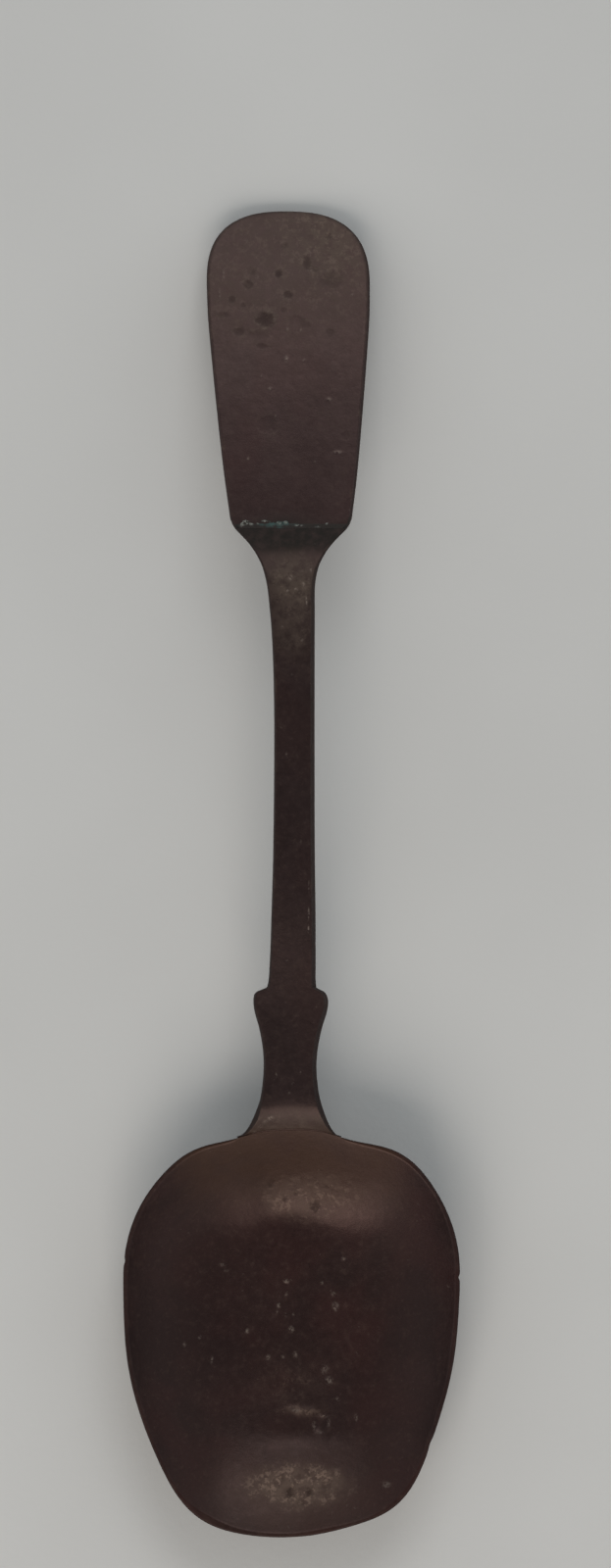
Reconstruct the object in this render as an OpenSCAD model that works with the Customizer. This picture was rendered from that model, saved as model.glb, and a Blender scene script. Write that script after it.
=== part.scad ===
// Plain fiddle-pattern spoon in copper alloy, brazed up from a bowl, a stem and a handle plate.
// It lies face up on its bowl and on the end of its plate.
// Frame: +Y runs along the handle from the tip of the bowl to the end of the plate, +X is to the
// right, +Z is up. The origin is under the middle of the whole spoon, on the surface it lies on.

/* [Bowl] */
// Width of the bowl across its widest line
bowl_w = 34.2; // [30:0.1:38]
// Length of the bowl from its widest line to the tip
bowl_tip_len = 25.4; // [22:0.1:29]
// Length of the bowl from its widest line to the crown of its shoulders
bowl_shoulder_len = 15; // [13:0.1:17]
// Depth of the hollow under the rim at the widest line
hollow_depth = 6.1; // [4.5:0.1:7]
// Thickness of the sheet at the middle of the floor
floor_t = 0.9; // [0.7:0.05:1.2]
// Width of the flat top of the rim
rim_w = 0.45; // [0.3:0.05:0.7]
// Height of the outer edge of the rim
rim_edge_h = 0.5; // [0.4:0.05:0.8]
// Depth that wear has taken off the outside of the floor, which leaves a small flat
rest_wear = 0.12; // [0.08:0.01:0.2]
// How far the two corners of the blunt tip stand out from an even curve
tip_corner = 1.05; // [0:0.05:1.4]
// How far the two shoulders stand out from an even curve
shoulder_corner = 0.75; // [0:0.05:0.8]
// How far the bowl is skewed: its right shoulder and the left side of its tip stand out by this much
bowl_skew = 0.1; // [0:0.02:0.3]
// How much of the right side of the tip has worn away
tip_wear = 0.24; // [0:0.02:0.4]

/* [Stem] */
// Width of the flat shank at its middle
shank_w = 4.12; // [3.6:0.02:5]
// Width of the stem across the two lugs
lug_w = 7.6; // [6.6:0.1:8.6]
// Width of the waist of the neck
waist_w = 5.36; // [4.8:0.02:6]
// Thickness of the shank
shank_t = 2.3; // [1.8:0.1:2.8]
// Height of the top face of the shank above the surface that the spoon lies on
shank_z = 12.2; // [11:0.1:13.5]

/* [Fiddle plate] */
// Width of the plate at its widest line
plate_w = 16.6; // [15:0.1:18.5]
// Width of the plate at its foot, next to the crease
plate_foot_w = 12.5; // [11.6:0.1:13.2]
// Thickness of the plate next to the crease
plate_t = 1.3; // [1.1:0.05:1.5]
// Thickness of the plate at its far end
plate_end_t = 1.05; // [0.9:0.05:1.2]

/* [Brazed seams] */
// Thickness of the film of filler in both laps
film_t = 0.1; // [0.06:0.01:0.15]
// Width of the filler that shows along both seams
bead_w = 0.3; // [0.2:0.05:0.4]

/* [Hidden] */

// Where things stand along Y: the bowl's widest line, the end of the plate, the crease and the laps
plate_end_y = 67.6;
wide_y = -42;
crease_y = 35.4;
lap_end_y = 31.2;
end_curve_y = 60;
drop_tip_y = -33.4;
neck_end_y = -22.9;

// Squareness of the bowl's outline above and below the widest line: 2 would be an ellipse
shoulder_square = 2.5;
tip_square = 2.22;
// How steeply the floor of the bowl turns up into its wall
wall_power = 3.2;
// The heel: its direction from the middle of the bowl, how far it reaches above the shoulders, half the
// angle that it takes up, and its squareness
heel_middle = 90.7;
heel_reach = 1;
heel_angle = 19.5;
heel_square = 3.2;
// Rise of the rim towards the shoulders and the heel, and its fall towards the tip
shoulder_rise = 0.7;
heel_rise = 0.2;
tip_fall = 0.4;
// Corners of the outline: their directions from the middle of the bowl, and their spread
tip_corners = [-112.6, -63.5];
tip_spread = 12.2;
shoulder_corners = [51.5, 124.3];
shoulder_spread = 13.9;
// The worn side of the tip: its direction and its spread
wear_middle = -75.8;
wear_spread = 10.8;

// Half of the stem's end at the bowl, as an angle seen from the middle of the bowl
neck_angle = 19;
// Height of the top face of the neck at its waist, and its thickness there
neck_z = 9.7;
neck_t = 2.4;
// How soon the neck's sides turn into straight lines: 1 would be evenly
neck_flare = 0.5;
// The drop: thickness at its edge, what its crown adds, and how far its underside falls to its root
drop_edge_t = 0.15;
drop_crown_t = 0.55;
drop_fall = 0.1;
// Height of the underside at the drop's root, how round its tip is, and its least share of the width
drop_root_z = 6.55;
drop_tip_round = 0.5;
drop_tip_share = 0.14;
// Gap between the edge of the heel and the drop's root
seam_gap = 0.05;
// Height of the plate's top face at the crease and at its end, and its slope at the crease
plate_foot_z = shank_z - 2.05;
plate_end_z = 1.05;
plate_foot_slope = 0.09;
// Thickness of the plate's scarfed tip in the lap
scarf_t = 0.35;
// How far the filler in the crease stands above the plate
bead_h = 0.04;
// Squareness of the plate's round end
end_square = 2.6;
// How far the arrises are rounded down
arris_drop = 0.16;

// Counts of rows and columns in the meshes
turns = 72;
rings = 11;
columns = 10;
// How much closer together the bowl's rows are at its rim: 1 would be even
ring_crowding = 1.4;

pick = function (list, i) list[max(0, min(len(list) - 1, i))];

// Smooth curve through stations [position, value], with the slope at each one set by its neighbours
function slope_at(s, i) =
    let (a = pick(s, i - 1), b = pick(s, i + 1))
    (b[1] - a[1]) / (b[0] - a[0]);
function span_of(s, y, i = 0) =
    i >= len(s) - 2 || y < s[i + 1][0] ? i : span_of(s, y, i + 1);
function smooth_curve(s, y) =
    let (
        i = span_of(s, y),
        d = s[i + 1][0] - s[i][0],
        t = max(0, min(1, (y - s[i][0]) / d)),
        rest = 1 - t
    )
    s[i][1] * (1 + 2 * t) * rest * rest
    + slope_at(s, i) * d * t * rest * rest
    + s[i + 1][1] * (3 - 2 * t) * t * t
    - slope_at(s, i + 1) * d * rest * t * t;

// ---- Bowl ----

// Distance from the middle of the bowl to its outline, without the heel
function angle_between(a, b) = abs(((a - b) % 360 + 540) % 360 - 180);
function corner_share(a, corners, spread) =
    exp(-pow(angle_between(a, corners[0]) / spread, 2)) + exp(-pow(angle_between(a, corners[1]) / spread, 2));
function fullness(a) =
    tip_corner * corner_share(a, tip_corners, tip_spread)
    + shoulder_corner * corner_share(a, shoulder_corners, shoulder_spread)
    + bowl_skew * sin(2 * a)
    - tip_wear * exp(-pow(angle_between(a, wear_middle) / wear_spread, 2));
function base_radius(a) =
    let (
        upper = sin(a) > 0,
        square = upper ? shoulder_square : tip_square,
        reach = upper ? bowl_shoulder_len : bowl_tip_len
    )
    pow(pow(abs(cos(a)) * 2 / bowl_w, square) + pow(abs(sin(a)) / reach, square), -1 / square)
    + fullness(a);
// What the heel adds to it
function heel_share(a) = exp(-pow(angle_between(a, heel_middle) / heel_angle, heel_square));
function heel_radius(a) = heel_reach * heel_share(a);
// A contour of the bowl, from 0 at its middle to 1 at its outline, and the contour through a point
function contour_radius(a, s) = s * base_radius(a) + s * s * heel_radius(a);
function contour_at(a, r) =
    let (base = base_radius(a))
    2 * r / (base + sqrt(base * base + 4 * heel_radius(a) * r));

function rim_z(a) =
    let (along = contour_radius(a, 1) * sin(a))
    hollow_depth + floor_t
    + (along > 0 ? shoulder_rise * pow(along / bowl_shoulder_len, 2) : 0)
    - (along < 0 ? tip_fall * pow(along / bowl_tip_len, 2) : 0)
    + heel_rise * heel_share(a);

// The inside and the outside of the sheet on a contour
function inside_z(a, s) = floor_t + (rim_z(a) - floor_t) * pow(s, wall_power);
function outside_z(a, s) = max(0, (rim_z(a) - rim_edge_h + rest_wear) * pow(s, wall_power) - rest_wear);
function bowl_back_z(x, y) =
    let (a = atan2(y - wide_y, x))
    outside_z(a, min(1, contour_at(a, norm([x, y - wide_y]))));

function ring_share(i) = 1 - pow(1 - i / rings, ring_crowding);
function bowl_point(a, r, z) = [r * cos(a), wide_y + r * sin(a), z];

module bowl() {
    inside_points = [
        for (i = [1:rings], k = [0:turns - 1])
            let (a = k * 360 / turns, s = ring_share(i))
            bowl_point(a, contour_radius(a, s) - rim_w * s, inside_z(a, s))
    ];
    outside_points = [
        for (i = [1:rings], k = [0:turns - 1])
            let (a = k * 360 / turns, s = ring_share(i))
            bowl_point(a, contour_radius(a, s), outside_z(a, s))
    ];
    last = rings * turns;
    inner = function (i, k) i * turns + k % turns;
    outer = function (i, k) last + i * turns + k % turns;
    middle_inside = 2 * last;
    middle_outside = 2 * last + 1;
    faces = [
        for (k = [0:turns - 1]) each [
            [inner(0, k + 1), inner(0, k), middle_inside],
            [outer(0, k), outer(0, k + 1), middle_outside],
            [inner(rings - 1, k), inner(rings - 1, k + 1), outer(rings - 1, k)],
            [inner(rings - 1, k + 1), outer(rings - 1, k + 1), outer(rings - 1, k)]
        ],
        for (i = [0:rings - 2], k = [0:turns - 1]) each [
            [inner(i, k), inner(i, k + 1), inner(i + 1, k)],
            [inner(i, k + 1), inner(i + 1, k + 1), inner(i + 1, k)],
            [outer(i, k), outer(i + 1, k), outer(i, k + 1)],
            [outer(i, k + 1), outer(i + 1, k), outer(i + 1, k + 1)]
        ]
    ];
    points = concat(inside_points, outside_points, [[0, wide_y, floor_t], [0, wide_y, 0]]);
    color("#4a3733") polyhedron(points, faces);
}

// ---- Slab: a closed solid between a top and a bottom face, given as rows of [x, y, top, bottom] ----

module slab(rows) {
    n = len(rows);
    m = len(rows[0]);
    tops = [for (row = rows, p = row) [p[0], p[1], p[2]]];
    bottoms = [for (row = rows, p = row) [p[0], p[1], p[3]]];
    top = function (i, k) i * m + k;
    bottom = function (i, k) n * m + i * m + k;
    faces = [
        for (i = [0:n - 2], k = [0:m - 2]) each [
            [top(i, k), top(i + 1, k), top(i, k + 1)],
            [top(i, k + 1), top(i + 1, k), top(i + 1, k + 1)],
            [bottom(i, k), bottom(i, k + 1), bottom(i + 1, k)],
            [bottom(i, k + 1), bottom(i + 1, k + 1), bottom(i + 1, k)]
        ],
        for (i = [0:n - 2]) each [
            [top(i, 0), bottom(i, 0), top(i + 1, 0)],
            [bottom(i, 0), bottom(i + 1, 0), top(i + 1, 0)],
            [top(i, m - 1), top(i + 1, m - 1), bottom(i, m - 1)],
            [bottom(i, m - 1), top(i + 1, m - 1), bottom(i + 1, m - 1)]
        ],
        for (k = [0:m - 2]) each [
            [top(0, k), top(0, k + 1), bottom(0, k)],
            [bottom(0, k), top(0, k + 1), bottom(0, k + 1)],
            [top(n - 1, k), bottom(n - 1, k), top(n - 1, k + 1)],
            [bottom(n - 1, k), bottom(n - 1, k + 1), top(n - 1, k + 1)]
        ]
    ];
    polyhedron(concat(tops, bottoms), faces);
}

// Columns across a slab run from -1 to 1, closer together at the edges
function across(k) = let (u = 2 * k / columns - 1) sin(90 * u);
// A row's point at column u, with both faces rounded down at their arrises
function edged(x, y, u, top, bottom) =
    let (drop = min(arris_drop, 0.3 * (top - bottom)) * pow(abs(u), 8))
    [x, y, top - drop, bottom + drop];

// ---- Stem ----

// Half of the width of neck, lugs, shank and trumpet foot, by place along Y
stem_stations = [
    [-24, 3.35], [-22.9, 3.06], [-21.5, 2.82], [-19.5, waist_w / 2], [-17.5, 2.82], [-15.5, 3.22],
    [-14, lug_w / 2 - 0.14], [-13, lug_w / 2], [-12.4, lug_w / 2 - 0.14], [-12, lug_w / 2 - 0.44],
    [-11.75, 2.82], [-11.5, 2.5], [-9, 2.34], [-4, shank_w / 2 + 0.18], [2, shank_w / 2 + 0.06],
    [10, shank_w / 2], [17, shank_w / 2], [23, shank_w / 2 + 0.08], [27, 2.29], [29.5, 2.46],
    [31.3, 2.88], [32.6, 3.52], [33.7, 4.31], [34.5, 5.07], [35.2, 5.72], [36, 6.12],
    [36.8, plate_foot_w / 2]
];
// Height of the top face and of the underside, by place along Y
stem_top_stations = [
    [-27.2, neck_z - 2.75], [-25.9, neck_z - 1.65], [-25.1, neck_z - 0.98], [-24.3, neck_z - 0.48],
    [-23.5, neck_z - 0.17], [-22.4, neck_z - 0.03], [-20.5, neck_z], [-13, neck_z + 0.5],
    [-2, shank_z - 0.5], [12, shank_z], [24, shank_z + 0.1], [29.5, shank_z - 0.1], [32, shank_z - 0.7],
    [crease_y, shank_z - 1.72]
];
stem_under_stations = [
    [-27.2, drop_root_z - drop_fall], [-26, drop_root_z - drop_fall], [-24.3, drop_root_z + 0.17],
    [-22.4, drop_root_z + 0.55], [-19.5, neck_z - neck_t], [-13, neck_z + 0.4 - shank_t],
    [-2, shank_z - 0.5 - shank_t], [12, shank_z - shank_t], [24, shank_z + 0.1 - shank_t],
    [29.5, shank_z - 2.06], [lap_end_y, shank_z - 2.02]
];

function stem_top(y) = smooth_curve(stem_top_stations, y);
// The plate bends down more and more towards its end, which touches the surface that the spoon lies on
plate_len = plate_end_y - crease_y;
plate_bend = (plate_foot_z - plate_end_z - plate_foot_slope * plate_len) / pow(plate_len, 2);
function plate_top(y) =
    plate_foot_z - plate_foot_slope * (y - crease_y) - plate_bend * pow(max(0, y - crease_y), 2);
function stem_bottom(y) =
    y > lap_end_y ? plate_top(y) + film_t : smooth_curve(stem_under_stations, y);

// The edge of the bowl's heel, seen from above, with a gap to it
function heel_edge(u, gap) =
    let (a = heel_middle - u * neck_angle, r = contour_radius(a, 1) + gap)
    [r * cos(a), wide_y + r * sin(a)];

// Rows of the neck turn from the arc of the heel to straight lines
neck_rows = 6;
function neck_point(u, t) =
    let (
        from = heel_edge(u, bead_w),
        to = [u * smooth_curve(stem_stations, neck_end_y), neck_end_y],
        flare = pow(t, neck_flare)
    )
    [from[0] * (1 - flare) + to[0] * flare, from[1] * (1 - t) + to[1] * t];
// Their top starts at the height of the rim
function neck_top(u, y, t) =
    let (lift = rim_z(heel_middle - u * neck_angle) - stem_top(heel_edge(u, bead_w)[1]))
    stem_top(y) + lift * (1 - t) * (1 - t) * (1 + 2 * t);

// The tongue under the bowl's back, the drop, narrows to a round end
drop_rows = 9;
function drop_point(u, t) =
    let (
        from = heel_edge(u, seam_gap),
        narrow = max(drop_tip_share, sqrt(max(0, 1 - t * t))),
        end_y = drop_tip_y + drop_tip_round * u * u
    )
    [from[0] * narrow, from[1] * (1 - t) + end_y * t];
function drop_bottom(u, p, t) =
    let (
        crown = drop_crown_t * (1 - 0.5 * pow(abs(u), 4)) * sqrt(1 - t * t)
    )
    min(
        drop_root_z - (1 - t) * drop_fall,
        bowl_back_z(p[0], p[1]) - film_t - (drop_edge_t + crown) * (1 - 0.75 * pow(abs(u), 6))
    );

function stem_row(y) = [
    for (k = [0:columns])
        let (u = across(k))
        edged(u * smooth_curve(stem_stations, y), y, u, stem_top(y), stem_bottom(y))
];

stem_ys = [
    neck_end_y, -21.5, -20, -18.5, -17, -15.5, -14.5, -13.6, -13, -12.4, -12, -11.75, -11.5, -11.1, -10,
    -6, -2, 2, 6, 10, 14, 18, 22, 25, 27.5, 29.5, 30.6, lap_end_y, lap_end_y + 0.3, 32.2, 32.9,
    33.6, 34.2, 34.8, crease_y - 0.25
];

module stem() {
    drop = [
        for (i = [drop_rows:-1:0])
            let (t = sin(90 * i / drop_rows))
            [
                for (k = [0:columns])
                    let (u = across(k), p = drop_point(u, t))
                    [p[0], p[1], bowl_back_z(p[0], p[1]) - film_t, drop_bottom(u, p, t)]
            ]
    ];
    neck = [
        for (i = [0:neck_rows - 1])
            let (t = i / neck_rows)
            [
                for (k = [0:columns])
                    let (u = across(k), p = neck_point(u, t))
                    edged(p[0], p[1], u, neck_top(u, p[1], t), stem_bottom(p[1]))
            ]
    ];
    shank = [for (y = stem_ys) stem_row(y)];
    color("#3a2c2b") slab(concat(drop, neck, shank));
}

// ---- Fiddle plate ----

plate_stations = [
    [34.5, 5.07], [35.2, 5.72], [36, 6.12], [36.8, plate_foot_w / 2], [41, plate_foot_w / 2 + 0.55],
    [47, plate_w / 2 - 0.9], [53, plate_w / 2 - 0.37], [57, plate_w / 2 - 0.07], [60, plate_w / 2]
];
plate_ys = [
    lap_end_y, 31.9, 32.6, 33.3, 34, 34.6, 35.2, 35.8, 36.4, 37.2, 39, 42, 45, 48, 51, 54, 57, 59,
    60.5, 62, 63.2, 64.3, 65.3, 66.1, 66.7, 67.1, 67.35, 67.46, plate_end_y
];

function plate_half(y) =
    y < 34.5 ? smooth_curve(stem_stations, y)
    : y < end_curve_y ? smooth_curve(plate_stations, y)
    : plate_w / 2 * pow(
        max(0.002, 1 - pow((y - end_curve_y) / (plate_end_y - end_curve_y), end_square)), 1 / end_square
    );
// The lap is scarfed: it thins away under the stem's foot
function plate_thick(y) =
    y < crease_y ? scarf_t + (plate_t - scarf_t) * (y - lap_end_y) / (crease_y - lap_end_y)
    : plate_t + (plate_end_t - plate_t) * (y - crease_y) / plate_len;

module fiddle_plate() {
    rows = [
        for (y = plate_ys)
            [
                for (k = [0:columns])
                    let (
                        u = across(k),
                        x = u * plate_half(y),
                        top = plate_top(y),
                        bottom = max(0, top - plate_thick(y))
                    )
                    y > crease_y ? edged(x, y, u, top, bottom) : [x, y, top, bottom]
            ]
    ];
    color("#53443f") slab(rows);
}

// ---- Brazed seams ----

// The filler round the bowl's heel: a bead along the edge, and a film between the drop and the bowl's back
module bowl_braze() {
    film = [
        for (i = [drop_rows:-1:0])
            let (t = sin(90 * i / drop_rows))
            [
                for (k = [0:columns])
                    let (u = across(k), p = drop_point(u, t), back = bowl_back_z(p[0], p[1]))
                    [p[0], p[1], i == 0 ? rim_z(heel_middle - u * neck_angle) : back, back - film_t]
            ]
    ];
    color("#6b5a45") slab(film);
}

// The filler in the crease: a bead in front of the stem's foot, and a film under it
module plate_braze() {
    rows = [
        for (y = [lap_end_y + 0.3, 32.2, 32.9, 33.6, 34.2, 34.8, crease_y - 0.25, crease_y + bead_w])
            [
                for (k = [0:columns])
                    let (
                        u = across(k),
                        film = plate_top(y) + film_t,
                        top = y > crease_y ? plate_top(y) + bead_h : film
                    )
                    [u * (plate_half(y) - 0.02), y, top, plate_top(y)]
            ]
    ];
    color("#4f6b60") slab(rows);
}

bowl();
stem();
fiddle_plate();
bowl_braze();
plate_braze();
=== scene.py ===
import math

import bpy
import numpy as np
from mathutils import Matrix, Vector


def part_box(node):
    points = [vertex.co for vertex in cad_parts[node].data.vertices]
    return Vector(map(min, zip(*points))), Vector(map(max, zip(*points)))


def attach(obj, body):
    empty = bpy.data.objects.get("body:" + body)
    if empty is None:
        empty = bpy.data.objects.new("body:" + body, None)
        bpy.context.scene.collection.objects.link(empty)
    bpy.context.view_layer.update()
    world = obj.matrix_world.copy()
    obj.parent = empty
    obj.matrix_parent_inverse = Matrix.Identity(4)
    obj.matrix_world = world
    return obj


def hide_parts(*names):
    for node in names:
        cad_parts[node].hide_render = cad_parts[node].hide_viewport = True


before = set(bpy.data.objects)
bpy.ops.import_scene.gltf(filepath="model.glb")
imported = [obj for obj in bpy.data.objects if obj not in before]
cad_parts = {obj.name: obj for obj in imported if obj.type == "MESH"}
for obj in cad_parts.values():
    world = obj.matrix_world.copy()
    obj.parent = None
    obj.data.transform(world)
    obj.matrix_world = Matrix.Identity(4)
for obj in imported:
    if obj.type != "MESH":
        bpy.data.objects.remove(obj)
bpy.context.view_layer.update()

# The meshes are made in millimetres, in the frame of the CAD model, and scaled to metres at the end
MM = 0.001


def box_mm(node):
    """Lowest and highest corner of a CAD node, in millimetres."""
    lo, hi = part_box(node)
    return np.array(lo) / MM, np.array(hi) / MM


BOWL_LO, BOWL_HI = box_mm("bowl")
STEM_LO, STEM_HI = box_mm("stem")
PLATE_LO, PLATE_HI = box_mm("fiddle_plate")

HALF_BOWL = (BOWL_HI[0] - BOWL_LO[0]) / 2
HALF_PLATE = (PLATE_HI[0] - PLATE_LO[0]) / 2
WIDE_Y = -42.0
PLATE_END_Y = PLATE_HI[1]
LAP_END_Y = PLATE_LO[1]
FOOT_END_Y = STEM_HI[1]
CREASE_Y = FOOT_END_Y + 0.25
DROP_TIP_Y = STEM_LO[1]
SHANK_Z = STEM_HI[2] - 0.1


# ---------------------------------------------------------------- curves and noise

def smooth_curve(stations, y):
    """A smooth curve through stations (place, value), with slopes set by their neighbours."""
    s = np.array(stations, float)
    i = np.clip(np.searchsorted(s[:, 0], y, side="right") - 1, 0, len(s) - 2)
    before = np.r_[0, np.arange(len(s) - 1)]
    after = np.r_[np.arange(1, len(s)), len(s) - 1]
    slope = (s[after, 1] - s[before, 1]) / (s[after, 0] - s[before, 0])
    d = s[i + 1, 0] - s[i, 0]
    t = np.clip((y - s[i, 0]) / d, 0, 1)
    rest = 1 - t
    value = s[i, 1] * (1 + 2 * t) * rest * rest + slope[i] * d * t * rest * rest
    return value + s[i + 1, 1] * (3 - 2 * t) * t * t - slope[i + 1] * d * rest * t * t


def step(low, high, v):
    """0 at low and 1 at high, smooth in between. Low may be above high."""
    t = np.clip((v - low) / (high - low), 0, 1)
    return t * t * (3 - 2 * t)


def blob(x, y, cx, cy, rx, ry, power=2.0):
    """1 in the middle of an oval spot, fading to 0 outside it."""
    q = ((x - cx) / rx) ** 2 + ((y - cy) / ry) ** 2
    return np.exp(-(q ** (power / 2)))


def soft_min(a, b, k):
    """The smaller of two values, with the corner between them rounded over about k."""
    h = np.clip(0.5 + 0.5 * (b - a) / k, 0, 1)
    return b * (1 - h) + a * h - k * h * (1 - h)


HASH_X, HASH_Y, HASH_SEED, HASH_MIX = 374761393, 668265263, 974634777, 1274126177
LOW_32_BITS, LOW_16_BITS = 0xFFFFFFFF, 0xFFFF


def lattice(ix, iy, seed):
    """A repeatable random number from 0 to 1 for each corner of a square lattice."""
    h = (ix * HASH_X + iy * HASH_Y + seed * HASH_SEED) & LOW_32_BITS
    h = ((h ^ (h >> 13)) * HASH_MIX) & LOW_32_BITS
    return ((h ^ (h >> 16)) & LOW_16_BITS) / float(LOW_16_BITS)


def bumps(x, y, size, seed):
    """Smooth random relief from -1 to 1, with bumps about as wide as size."""
    gx, gy = x / size, y / size
    ix, iy = np.floor(gx).astype(np.int64), np.floor(gy).astype(np.int64)
    fx, fy = gx - ix, gy - iy
    fx, fy = fx * fx * (3 - 2 * fx), fy * fy * (3 - 2 * fy)
    low = lattice(ix, iy, seed) * (1 - fx) + lattice(ix + 1, iy, seed) * fx
    high = lattice(ix, iy + 1, seed) * (1 - fx) + lattice(ix + 1, iy + 1, seed) * fx
    return 2 * (low * (1 - fy) + high * fy) - 1


OCTAVES = 3
OCTAVE_TURN = 0.6
OCTAVE_SEED = 17
RELIEF_SCALE = 1.6


def relief(x, y, size, seed):
    """Bumps of three sizes, each half as wide and half as high as the one before."""
    total = np.zeros(np.broadcast(x, y).shape)
    for o in range(OCTAVES):
        turn = OCTAVE_TURN * (o + 1)
        u = x * math.cos(turn) - y * math.sin(turn)
        v = x * math.sin(turn) + y * math.cos(turn)
        total = total + bumps(u, v, size / 2 ** o, seed + OCTAVE_SEED * o) / 2 ** o
    return total / RELIEF_SCALE


COARSE_RAGGED, COARSE_RAGGED_SIZE = 0.28, 0.35
FINE_RAGGED, FINE_RAGGED_SIZE = 0.12, 0.15


def spots(x, y, places, seed, power=3.0):
    """The strongest of a list of ragged spots (x, y, radius across, radius along, strength)."""
    ragged = 1 + COARSE_RAGGED * bumps(x, y, COARSE_RAGGED_SIZE, seed)
    ragged = ragged + FINE_RAGGED * bumps(x, y, FINE_RAGGED_SIZE, seed + 1)
    total = np.zeros(np.broadcast(x, y).shape)
    for cx, cy, rx, ry, strength in places:
        near = (np.abs(x - cx) < 3 * rx) & (np.abs(y - cy) < 3 * ry)
        spot = strength * blob(x, y, cx, cy, rx * ragged, ry * ragged, power)
        total[near] = np.maximum(total[near], spot[near])
    return total


# ---------------------------------------------------------------- meshes

def finished_mesh(name, verts, quads, tris, masks):
    """Makes the Blender object from millimetre points, with smooth shading."""
    mesh = bpy.data.meshes.new(name)
    faces = [list(map(int, f)) for f in quads] + [list(map(int, f)) for f in tris]
    mesh.from_pydata((verts * MM).tolist(), [], faces)
    mesh.polygons.foreach_set("use_smooth", [True] * len(mesh.polygons))
    for key, values in masks.items():
        layer = mesh.attributes.new(key, "FLOAT", "POINT")
        layer.data.foreach_set("value", values.astype(np.float32))
    mesh.validate()
    mesh.update()
    obj = bpy.data.objects.new(name, mesh)
    bpy.context.scene.collection.objects.link(obj)
    return obj


def closed_slab(name, top, bottom, masks, walls=4):
    """A closed solid from a top and a bottom grid of points, joined by a wall all round.

    masks: name of a mesh attribute -> (values on the top grid, values on the bottom grid).
    """
    n, m = top.shape[:2]
    rim = [(0, k) for k in range(m)] + [(i, m - 1) for i in range(1, n)]
    rim += [(n - 1, k) for k in range(m - 2, -1, -1)] + [(i, 0) for i in range(n - 2, 0, -1)]
    rows, cols = np.array(rim).T
    above, below = top[rows, cols], bottom[rows, cols]
    shares = [w / walls for w in range(1, walls)]
    wall_rings = [above + (below - above) * w for w in shares]
    verts = np.concatenate([top.reshape(-1, 3), bottom.reshape(-1, 3)] + wall_rings)
    grid = np.arange(n * m).reshape(n, m)
    a, b, c, d = grid[:-1, :-1], grid[:-1, 1:], grid[1:, 1:], grid[1:, :-1]
    faces = [np.stack([a, b, c, d], -1).reshape(-1, 4), np.stack([a, d, c, b], -1).reshape(-1, 4) + n * m]
    rings = [grid[rows, cols]]
    rings += [2 * n * m + w * len(rows) + np.arange(len(rows)) for w in range(walls - 1)]
    rings.append(grid[rows, cols] + n * m)
    for hi, lo in zip(rings[:-1], rings[1:]):
        faces.append(np.stack([hi, lo, np.roll(lo, -1), np.roll(hi, -1)], -1))
    filled = {}
    for key, (on_top, on_bottom) in masks.items():
        t, u = np.broadcast_to(on_top, (n, m)), np.broadcast_to(on_bottom, (n, m))
        on_wall = [t[rows, cols] * (1 - w) + u[rows, cols] * w for w in shares]
        filled[key] = np.concatenate([t.reshape(-1), u.reshape(-1)] + on_wall)
    return finished_mesh(name, verts, np.concatenate(faces), [], filled)


def crowded(n, power=1.6):
    """n numbers from -1 to 1, closer together towards both ends."""
    u = np.linspace(-1, 1, n)
    return np.sign(u) * (1 - (1 - np.abs(u)) ** power)


def edge_drop(distance, radius):
    """How far a face falls away at a rounded edge, by distance from that edge."""
    q = np.clip(1 - distance / radius, 0, 1)
    return radius * (1 - np.sqrt(1 - q * q))


# ---------------------------------------------------------------- bowl

# Thickness of the sheet, depth of the hollow and height of the rim's outer edge
SHEET_T = 0.9
HOLLOW = 6.1
RIM_EDGE = 0.5
# Width of the rim's flat top and how much it varies
RIM_FLAT, RIM_FLAT_WAVES = 0.42, 0.06
# The rim rises towards the shoulders and falls towards the tip
SHOULDER_RISE, TIP_FALL = 0.7, 0.4
INNER_ROUND, OUTER_ROUND = 0.16, 0.12
PIT_DEPTH, GRAIN_HEIGHT = 0.08, 0.05
# Wear has ground a small flat, this deep, where the bowl rests
REST_WEAR = 0.12

# The wall is a power of the distance from the middle, and steeper under the heel, over a flat floor
WALL_POWER = 3.2
HEEL_POWER = 1.4
HEEL_FLOOR = 7.2
HEEL_FLOOR_LIMIT = 0.72
HEEL_BLEND = 0.15
HEEL_EASE = 0.12
# Sine of the direction where the wall under the heel begins, and where it has fully taken over
HEEL_FROM, HEEL_FULL = 0.45, 0.97

# The outline, by direction in degrees from the middle: +90 is the neck and -90 the tip
SHOULDER_LEN, SHOULDER_SQUARE = 15.0, 2.5
TIP_LEN, TIP_SQUARE = 25.4, 2.22
SHOULDER_CORNERS, SHOULDER_CORNER, SHOULDER_SPREAD = (51.5, 124.3), 0.75, 13.9
TIP_CORNERS, TIP_CORNER, TIP_SPREAD = (-112.6, -63.5), 1.05, 12.2
WORN_PLACES, TIP_WEAR, WEAR_SPREAD = (-75.8,), 0.24, 10.8
BOWL_SKEW = 0.10

# The heel is drawn out to the neck and brazed to it over this angle each side of its middle
HEEL_MIDDLE = 90.7
HEEL_REACH = 1.0
HEEL_RISE = 0.2
HEEL_ANGLE = 19.5
HEEL_SQUARE = 3.2
HEEL_RIM_ANGLE = 27
NECK_ANGLE = 19.0

# Two nicks and a kink in the outline: direction, width in degrees and depth
RIM_NICKS = [(3.5, 0.9, 0.14), (171, 1.0, 0.10), (-48.5, 1.6, 0.10)]
# How quickly nicks and file waves fade inwards
FAULT_POWER = 30

# Points round the bowl, rows of points on both faces, and how much closer those lie near the rim
BOWL_TURNS, HOLLOW_ROWS, BACK_ROWS = 640, 150, 60
ROWS_CROWD = 1.35

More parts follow.
